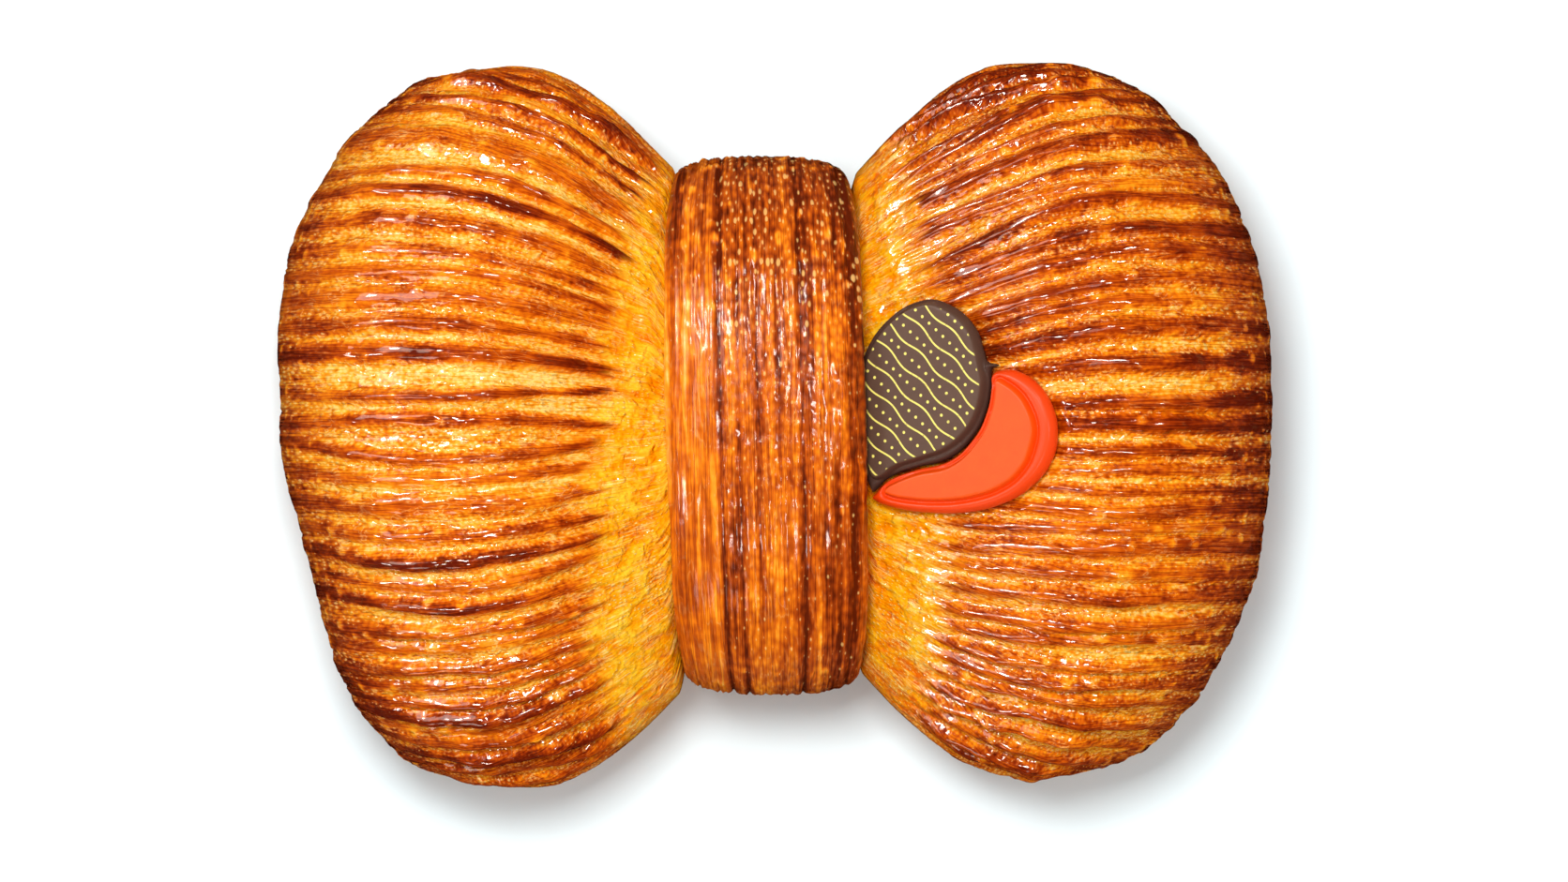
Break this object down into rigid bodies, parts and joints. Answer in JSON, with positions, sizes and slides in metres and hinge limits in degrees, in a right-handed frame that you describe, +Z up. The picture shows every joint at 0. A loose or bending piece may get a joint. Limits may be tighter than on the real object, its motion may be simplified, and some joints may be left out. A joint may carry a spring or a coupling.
{
  "type": "bow tie croissant",
  "caption": "Baked laminated croissant shaped as a bow tie, with ribbed puffed wings, a dough strip wrapped round the waist and a small two-tone moulded chocolate heart tucked beside it.",
  "frame": {"origin": "centre of the bounding box in plan, on the flat baked underside", "axes": "+Z up; +X along the bow from the plain wing to the wing with the heart; +Y across the bow"},
  "size_m": [0.1502, 0.1092, 0.0547],
  "materials": {
    "dough": "baked golden crust with browned ridges under a clear sugar glaze",
    "strip_dough": "deeper browned crust under a clear sugar glaze",
    "dark_chocolate": "satin moulded dark chocolate",
    "red_chocolate": "glossy moulded orange-red chocolate"
  },
  "bodies": {
    "root": {"wings": "dough", "strip": "strip_dough", "heart_dark": "dark_chocolate", "heart_red": "red_chocolate"}
  },
  "joints": []
}
